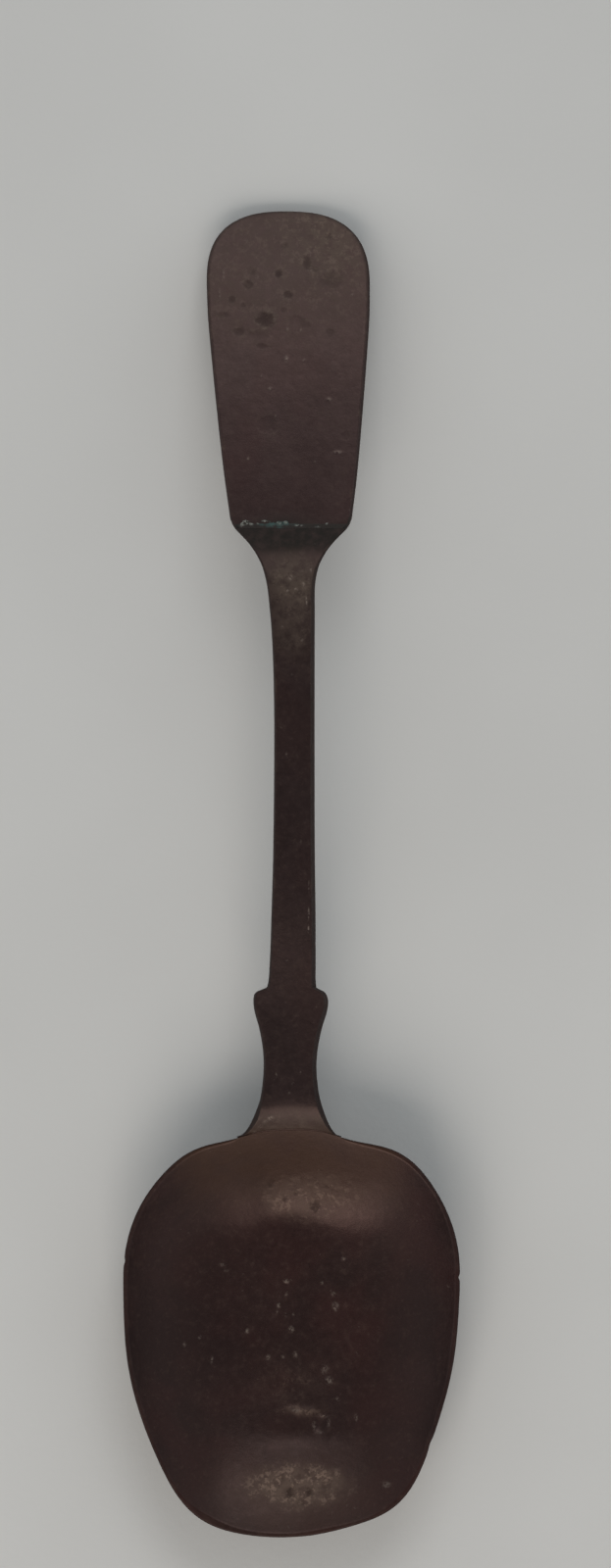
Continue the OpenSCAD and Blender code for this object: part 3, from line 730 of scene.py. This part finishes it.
def make_plate():
    """The thin plate with its scarfed lap, in one closed mesh."""
    u, ys = crowded(PLATE_COLUMNS, 1.35)[None, :], plate_rows()
    x, y = u * plate_half(ys), ys + 0 * u
    distance = plate_edge_distance(x, y)
    scarf = SCARF_TIP_T + SCARF_T * (y - LAP_END_Y) / (CREASE_Y - LAP_END_Y)
    thick = np.where(y < CREASE_Y, scarf, PLATE_T - PLATE_THINNING * (y - CREASE_Y) / PLATE_LEN)
    top = plate_top(y)
    bottom = np.maximum(0.0, top - thick)
    middle = smooth_curve(MIDDLE_X, y)
    placed = leaning(x, y, u, thick) + middle
    # each pit has a low broken burr round it, also painted pale as a highlight on the pit's rim
    pit, grain = spots(placed, y, PLATE_PITS, 7, 3.2), spots(placed, y, PLATE_GRAINS, 9)
    around = spots(placed, y, [(*spot[:4], 1.0) for spot in PLATE_PITS], 7, 3.2)
    broken = 0.55 + 0.45 * bumps(placed, y, 0.7, 143)
    burr = 4 * pit * (1 - around) * step(0.5, 0.2, around) * broken
    skin = 0.05 * relief(x, y, 6.0, 131) + 0.015 * relief(x, y, 1.1, 133)
    skin = skin - PLATE_PIT_DEPTH * pit + BURR_HEIGHT * burr + PLATE_GRAIN_HEIGHT * grain
    z = top + skin * step(CREASE_Y, CREASE_Y + 0.6, y) - edge_drop(distance, PLATE_ROUND)
    z_low = np.minimum(bottom + edge_drop(distance, PLATE_UNDER_ROUND), z - 0.05)
    # Ochre wear towards the end, lightened further as a painted highlight where the end tilts towards the far
    # window, most of all at its right
    beyond = step(47, 66, y)
    cloudy = 0.5 + 0.5 * relief(x, y, 5.0, 141)
    # pitted: ochre over the pitted area, and on the burrs as a painted highlight
    pitted = 0.10 * blob(placed, y, -0.5, 58.5, 8.5, 4.5, 4) + 0.5 * burr
    right_end = blob(placed, y, 3.4, 65.0, 4.2, 4.5)
    ochre = np.clip(beyond * (0.14 + 0.34 * cloudy) + 0.5 * right_end + pitted, 0, 1)
    green = step(37.6, 35.6, y) * (0.4 + 0.6 * cloudy) * blob(placed, y, -1.5, 36, 3.6, 3.0)
    masks = {
        # edge: lighter arrises, partly wear and partly a painted highlight
        "edge": (step(0.5, 0.2, distance), step(0.5, 0.1, distance) * 0.6),
        # side: painted shade that darkens the plate's side walls
        "side": (step(0.10, 0.0, distance), step(0.3, 0.0, distance)),
        "pit": (pit, 0),
        # grain: pale grains, and the burrs painted pale as a highlight on the pits' rims
        "grain": (np.maximum(grain, 0.5 * burr), 0),
        "ochre": (ochre, step(0.2, 0.0, z_low)),
        "green": (green, 0),
    }
    upper, lower = np.stack([placed, y, z], -1), np.stack([x + middle, y, z_low], -1)
    return closed_slab("fiddle_plate_blank", upper, lower, masks)


# ---------------------------------------------------------------- brazed seams

# The line of filler on the face, from just under the heel's edge to the neck, and how it slopes
LINE_START, LINE_WIDTH, LINE_DROP, LINE_RISE = -0.03, 0.2, 0.01, 0.07
# Lumps of old deposit on the filler in the crease: place, radius across and along, height in mm
CREASE_PALE = [
    (-4.6, 35.85, 0.32, 0.22, 0.12), (-4.1, 35.6, 0.24, 0.16, 0.08), (-5.0, 35.6, 0.2, 0.2, 0.08),
    (-2.7, 35.9, 0.42, 0.12, 0.10), (-0.7, 35.75, 0.22, 0.16, 0.12), (0.7, 35.45, 0.42, 0.10, 0.07),
    (2.6, 35.3, 0.24, 0.09, 0.04), (-5.3, 35.9, 0.14, 0.16, 0.06), (3.6, 35.65, 0.16, 0.12, 0.05),
    (5.2, 36.05, 0.16, 0.12, 0.04), (-3.4, 35.7, 0.16, 0.12, 0.04), (-1.3, 35.7, 0.2, 0.14, 0.08),
]
CREASE_TEAL = [
    (-2.0, 35.6, 0.6, 0.28, 0.05), (-1.2, 35.6, 0.42, 0.3, 0.07), (-0.6, 35.7, 0.36, 0.22, 0.05),
    (-1.2, 35.15, 0.4, 0.24, 0.03), (-3.0, 35.6, 0.4, 0.2, 0.03), (0.3, 35.6, 0.4, 0.16, 0.02),
]


def make_bowl_braze():
    """The filler between heel and neck: a thin line on the face and a film under the bowl."""
    u = crowded(121)[None, :]
    film_x, film_y = drop_plan(u, 40)[:2]
    back = bowl_back_z(film_x, film_y)
    across = np.linspace(0, 1, 8)[:, None]
    line_x, line_y = heel_edge(u, LINE_START + LINE_WIDTH * across)
    face = rim_z(HEEL_MIDDLE - u * NECK_ANGLE) - LINE_DROP + LINE_RISE * across
    crown = 0.02 * np.sin(np.pi * across) * (1 + 0.5 * bumps(line_x, line_y, 0.7, 151))
    line_x = line_x - 0.5 * np.sign(u) * np.abs(u) ** 3

    def grid(film_z, line_z):
        """One face of the filler: the film below the bowl, then the line in front of the heel."""
        film = np.stack([film_x, film_y, film_z], -1)[:-1]
        return np.concatenate([film, np.stack([line_x, line_y, line_z], -1)])

    high, low = grid(back + 0.02, face + crown), grid(back - LAP_FILM, face - 0.4)
    return closed_slab("bowl_braze_seam", high, low, {"orange": (1, 1)}, 2)


def make_plate_braze():
    """The filler in the crease: a fillet against the foot, with lumps of pale crust and verdigris."""
    u = crowded(421, 1.1)[None, :]
    ys = np.concatenate([
        np.linspace(LAP_END_Y + 0.3, FOOT_END_Y - 0.1, 8), np.linspace(FOOT_END_Y, CREASE_Y + 0.95, 60),
    ])[:, None]
    x, y = u * (plate_half(ys) - 0.12) + smooth_curve(MIDDLE_X, ys), ys + 0 * u
    pale, teal = spots(x, y, CREASE_PALE, 161), spots(x, y, CREASE_TEAL, 163)
    edge = step(1.0, 0.93, np.abs(u))
    foot = np.array(FOOT_END_Y)
    fillet = (stem_top(foot) - plate_top(foot)) * step(FOOT_END_Y + 0.62, FOOT_END_Y - 0.15, y)
    crust = (pale + teal) * (1 + 0.5 * bumps(x, y, 0.14, 165))
    top = plate_top(y) - 0.045 + (fillet + crust) * edge
    top = np.where(y < FOOT_END_Y, plate_top(y) + LAP_FILM, top)
    low = np.minimum(plate_top(y) - 0.12, top - 0.05)
    masks = {"green": (np.clip(teal / 0.05, 0, 1), 0), "grain": (np.clip(pale / 0.06, 0, 1), 0)}
    return closed_slab("plate_braze_seam", np.stack([x, y, top], -1), np.stack([x, y, low], -1), masks, 2)


# ---------------------------------------------------------------- materials

class Nodes:
    """A short way to build a material's node tree."""

    def __init__(self, name):
        self.material = bpy.data.materials.new(name)
        self.material.use_nodes = True
        self.tree = self.material.node_tree
        self.shader = self.tree.nodes["Principled BSDF"]
        self.place = self.add("ShaderNodeTexCoord").outputs["Object"]

    def add(self, kind, **settings):
        node = self.tree.nodes.new(kind)
        for key, value in settings.items():
            setattr(node, key, value)
        return node

    def plug(self, socket, value):
        if isinstance(value, bpy.types.NodeSocket):
            self.tree.links.new(value, socket)
        elif isinstance(value, tuple):
            socket.default_value = (*value, 1.0)
        else:
            socket.default_value = value

    def mask(self, name):
        """The value of a mesh attribute."""
        return self.add("ShaderNodeAttribute", attribute_name=name).outputs["Fac"]

    def noise(self, per_mm, detail=4.0, rough=0.55, distortion=0.0):
        """Cloudy noise in the object's own place, with so many waves per millimetre."""
        node = self.add("ShaderNodeTexNoise")
        self.plug(node.inputs["Vector"], self.place)
        self.plug(node.inputs["Scale"], per_mm / MM)
        self.plug(node.inputs["Detail"], detail)
        self.plug(node.inputs["Roughness"], rough)
        self.plug(node.inputs["Distortion"], distortion)
        return node.outputs["Fac"]

    def ramp(self, value, low, high, start=0.0, end=1.0):
        """Maps low..high to start..end, smoothly. Low may be above high."""
        node = self.add("ShaderNodeMapRange", interpolation_type="SMOOTHSTEP")
        self.plug(node.inputs["Value"], value)
        if low > high:
            low, high, start, end = high, low, end, start
        for key, number in zip(("From Min", "From Max", "To Min", "To Max"), (low, high, start, end)):
            self.plug(node.inputs[key], number)
        return node.outputs["Result"]

    def math(self, operation, a, b):
        node = self.add("ShaderNodeMath", operation=operation, use_clamp=operation == "ADD")
        self.plug(node.inputs[0], a)
        self.plug(node.inputs[1], b)
        return node.outputs[0]

    def times(self, *factors):
        total = factors[0]
        for factor in factors[1:]:
            total = self.math("MULTIPLY", total, factor)
        return total

    def mix(self, share, a, b):
        node = self.add("ShaderNodeMix", data_type="RGBA")
        self.plug(node.inputs[0], share)
        self.plug(node.inputs[6], a)
        self.plug(node.inputs[7], b)
        return node.outputs[2]

    def bump(self, height, depth_mm, before=None):
        node = self.add("ShaderNodeBump")
        self.plug(node.inputs["Height"], height)
        self.plug(node.inputs["Distance"], depth_mm * MM)
        if before is not None:
            self.plug(node.inputs["Normal"], before)
        return node.outputs["Normal"]

    def finish(self, ior, tint, normal):
        self.shader.inputs["IOR"].default_value = ior
        self.shader.inputs["Specular Tint"].default_value = (*tint, 1.0)
        self.plug(self.shader.inputs["Normal"], normal)
        return self.material


# Tint of the gloss, refraction, and the colours that several materials share
WARM_GLOSS = (1.0, 0.66, 0.58)
PLAIN_GLOSS = (1.0, 1.0, 1.0)
METAL_IOR, FILLER_IOR, CARD_IOR = 1.42, 1.4, 1.3
GREENISH = (0.0115, 0.0135, 0.0120)
ORANGE = (0.033, 0.0155, 0.0082)
PALE_GRAIN = (0.19, 0.15, 0.125)
WEAR_AND_GLINT_TONE = (0.080, 0.054, 0.042)


def shade(colour, factor):
    """A colour made darker or lighter."""
    return tuple(c * factor for c in colour)


def patina(name, dark, brown, red, ochre, freckled):
    """Old copper alloy: a dark brown skin with cloudy tints, worn edges with a painted highlight, pits, pale
    grains and painted shade on the side walls.
    """
    n = Nodes(name)
    cloud = n.noise(0.16, 3.0, 0.6, 0.4)
    fine = n.noise(1.1, 5.0, 0.65)
    grit = n.noise(5.0, 3.0, 0.6)
    streaks = n.noise(2.4, 4.0, 0.7)
    colour = n.mix(n.ramp(cloud, 0.36, 0.64), dark, brown)
    colour = n.mix(n.times(n.ramp(n.noise(0.09, 2.0, 0.5, 0.6), 0.45, 0.66), 0.6), colour, red)
    colour = n.mix(n.times(n.ramp(fine, 0.52, 0.76), 0.12), colour, ochre)
    colour = n.mix(n.times(n.ramp(streaks, 0.54, 0.70), 0.14), colour, WEAR_AND_GLINT_TONE)
    colour = n.mix(n.times(n.ramp(streaks, 0.46, 0.34), 0.35), colour, shade(dark, 0.55))
    colour = n.mix(n.times(n.mask("orange"), n.ramp(cloud, 0.25, 0.6, 0.55, 0.9)), colour, ORANGE)
    # Ochre where the skin is worn; at the bowl's heel and tip and the plate's end it is also a painted
    # highlight
    worn = n.times(n.mask("ochre"), n.ramp(fine, 0.36, 0.58, 0.4, 1.0))
    colour = n.mix(n.times(worn, 0.85), colour, ochre)
    broad, small = n.noise(1.0, 5.0, 0.75), n.noise(2.6, 2.0, 0.6)
    freckles = n.times(n.mask("ochre"), n.ramp(broad, 0.50, 0.58), n.ramp(small, 0.40, 0.52))
    colour = n.mix(n.times(freckles, freckled), colour, shade(ochre, 1.9))
    green = n.times(n.mask("green"), n.ramp(fine, 0.30, 0.65, 0.45, 0.9))
    colour = n.mix(green, colour, GREENISH)
    # Lighter arrises: partly wear, partly a painted highlight
    rubbed_and_glint = n.times(n.mask("edge"), n.ramp(n.noise(0.5, 4.0, 0.7), 0.50, 0.68))
    colour = n.mix(n.times(rubbed_and_glint, 0.5), colour, WEAR_AND_GLINT_TONE)
    pitted = n.times(n.mask("pit"), n.ramp(fine, 0.3, 0.6, 0.60, 0.40))
    colour = n.mix(pitted, colour, shade(dark, 0.45))
    # Painted shade: faces marked side are darkened, as the leaning walls fall in shade
    colour = n.mix(n.times(n.mask("side"), 0.5), colour, shade(dark, 0.3))
    flecks = n.times(n.ramp(n.noise(1.9, 2.0, 0.5), 0.70, 0.76), n.ramp(cloud, 0.44, 0.58))
    crumbs = n.times(n.mask("grain"), n.ramp(n.noise(4.2, 3.0, 0.6), 0.40, 0.56))
    colour = n.mix(n.times(n.math("ADD", crumbs, n.times(flecks, 0.2)), 0.75), colour, PALE_GRAIN)
    n.plug(n.shader.inputs["Base Color"], colour)
    green_or_side = n.math("ADD", n.mask("side"), green)
    dull = n.math("ADD", n.times(n.mask("pit"), 0.18), n.times(green_or_side, 0.5))
    dull = n.math("ADD", dull, n.times(n.mask("ochre"), 0.16))
    n.plug(n.shader.inputs["Roughness"], n.math("ADD", n.ramp(fine, 0.3, 0.7, 0.36, 0.46), dull))
    return n.finish(METAL_IOR, WARM_GLOSS, n.bump(grit, 0.010, n.bump(fine, 0.030)))


def filler(name, body, pale, teal, rough):
    """Brazing filler: duller than the spoon, with pale crust and verdigris."""
    n = Nodes(name)
    fine = n.noise(1.8, 5.0, 0.65)
    colour = n.mix(n.ramp(fine, 0.35, 0.65), body, shade(body, 1.4))
    colour = n.mix(n.times(n.mask("green"), n.ramp(fine, 0.34, 0.56, 0.3, 1.0)), colour, teal)
    crust = n.times(n.mask("grain"), n.ramp(n.noise(3.6, 4.0, 0.7), 0.42, 0.56))
    colour = n.mix(crust, colour, pale)
    n.plug(n.shader.inputs["Base Color"], colour)
    n.plug(n.shader.inputs["Roughness"], n.ramp(fine, 0.3, 0.7, rough, rough + 0.15))
    return n.finish(FILLER_IOR, WARM_GLOSS, n.bump(fine, 0.03))


CARD_COLOURS = ((0.605, 0.586, 0.562), (0.635, 0.616, 0.592))


def floor_material():
    """Matt pale card with a faint cloudiness."""
    n = Nodes("pale_card")
    colour = n.mix(n.ramp(n.noise(0.02, 3.0, 0.5), 0.3, 0.7), *CARD_COLOURS)
    n.plug(n.shader.inputs["Base Color"], colour)
    n.shader.inputs["Roughness"].default_value = 0.8
    return n.finish(CARD_IOR, PLAIN_GLOSS, n.bump(n.noise(1.2, 3.0, 0.5), 0.02))


# ---------------------------------------------------------------- stage, light and camera

FLOOR_HALF = 8.0
ROOM_COLOUR = (0.87, 0.95, 1.0, 1.0)
WALL_LIGHT, WALL_HEIGHT = 0.68, 0.3
CEILING_LIGHT, CEILING_HEIGHT = 0.12, 1.0
# Soft windows: place, width and height, power and colour
WINDOW = ((-0.13, -0.72, 0.60), (0.7, 0.6), 4.6, (1.0, 0.945, 0.885))
FAR_WINDOW = ((0.10, 0.70, 0.68), (0.6, 0.46), 2.35, (0.93, 0.97, 1.0))
# The camera looks straight down at this point of the spoon, from far off, so that lines stay parallel
LOOK_AT = Vector((0.00144, 0.0092, 0.006))
CAMERA_DISTANCE, VIEW_HEIGHT = 2.0, 0.1595
SENSOR_MM, NEAR_CLIP, FAR_CLIP = 36.0, 0.01, 30.0


def make_floor():
    """A large card under the spoon."""
    mesh = bpy.data.meshes.new("floor_card")
    r = FLOOR_HALF
    mesh.from_pydata([(-r, -r, 0), (r, -r, 0), (r, r, 0), (-r, r, 0)], [], [(0, 1, 2, 3)])
    floor = bpy.data.objects.new("floor_card", mesh)
    bpy.context.scene.collection.objects.link(floor)
    mesh.materials.append(floor_material())


def make_room():
    """A dim ceiling and paler walls, so that level faces stay dark and sloping ones catch light."""
    world = bpy.data.worlds.new("studio")
    bpy.context.scene.world = world
    world.use_nodes = True
    tree = world.node_tree
    place = tree.nodes.new("ShaderNodeTexCoord")
    height = tree.nodes.new("ShaderNodeSeparateXYZ")
    strength = tree.nodes.new("ShaderNodeMapRange")
    tree.links.new(place.outputs["Generated"], height.inputs[0])
    tree.links.new(height.outputs["Z"], strength.inputs["Value"])
    strength.inputs["From Min"].default_value = WALL_HEIGHT
    strength.inputs["From Max"].default_value = CEILING_HEIGHT
    strength.inputs["To Min"].default_value = WALL_LIGHT
    strength.inputs["To Max"].default_value = CEILING_LIGHT
    background = tree.nodes["Background"]
    background.inputs["Color"].default_value = ROOM_COLOUR
    tree.links.new(strength.outputs["Result"], background.inputs["Strength"])


def soft_light(name, place, size, power, colour):
    """A large soft window that faces the spoon."""
    data = bpy.data.lights.new(name, "AREA")
    data.shape = "RECTANGLE"
    data.size, data.size_y = size
    data.energy = power
    data.color = colour
    light = bpy.data.objects.new(name, data)
    bpy.context.scene.collection.objects.link(light)
    light.location = place
    light.rotation_mode = "QUATERNION"
    light.rotation_quaternion = (-Vector(place)).to_track_quat("-Z", "Y")


def make_lights():
    make_room()
    soft_light("window", *WINDOW)
    soft_light("far_window", *FAR_WINDOW)


def make_camera():
    """Straight above the spoon, with its handle up in the picture."""
    data = bpy.data.cameras.new("camera")
    data.sensor_width = SENSOR_MM
    data.lens = SENSOR_MM * CAMERA_DISTANCE / VIEW_HEIGHT
    data.clip_start, data.clip_end = NEAR_CLIP, FAR_CLIP
    camera = bpy.data.objects.new("camera", data)
    bpy.context.scene.collection.objects.link(camera)
    camera.location = LOOK_AT + Vector((0, 0, CAMERA_DISTANCE))
    bpy.context.scene.camera = camera


# ---------------------------------------------------------------- assembly

def dress(piece, node, material):
    """Gives a piece its material, in a new material slot, and its body, and hides the CAD node it stands for.
    """
    piece.data.materials.append(material)
    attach(piece, "root")
    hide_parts(node)


# Dark, brown and red tints of each skin, its worn ochre (also a painted highlight at the bowl's heel and tip
# and the plate's end), and how freckled the worn places are
BOWL_SKIN = (
    (0.0150, 0.0078, 0.0076), (0.0215, 0.0105, 0.0098), (0.0260, 0.0095, 0.0090), (0.112, 0.075, 0.056), 0.8,
)
STEM_SKIN = (
    (0.0125, 0.0078, 0.0080), (0.0175, 0.0108, 0.0110), (0.0180, 0.0095, 0.0092), (0.066, 0.049, 0.038), 0.30,
)
PLATE_SKIN = (
    (0.0270, 0.0160, 0.0158), (0.0360, 0.0220, 0.0215), (0.0370, 0.0190, 0.0188), (0.094, 0.069, 0.053), 0.40,
)
# Body, pale crust, verdigris and least roughness of each filler
HEEL_FILLER = ((0.024, 0.0125, 0.0095), (0.2, 0.2, 0.18), (0.05, 0.09, 0.08), 0.36)
CREASE_FILLER = ((0.0125, 0.0140, 0.0125), (0.21, 0.215, 0.19), (0.035, 0.085, 0.078), 0.5)

bpy.context.scene.view_settings.view_transform = "Standard"
make_camera()
make_floor()
make_lights()
dress(make_bowl(), "bowl", patina("bowl_patina", *BOWL_SKIN))
dress(make_stem(), "stem", patina("stem_patina", *STEM_SKIN))
dress(make_plate(), "fiddle_plate", patina("plate_patina", *PLATE_SKIN))
dress(make_bowl_braze(), "bowl_braze", filler("heel_filler", *HEEL_FILLER))
dress(make_plate_braze(), "plate_braze", filler("crease_filler", *CREASE_FILLER))
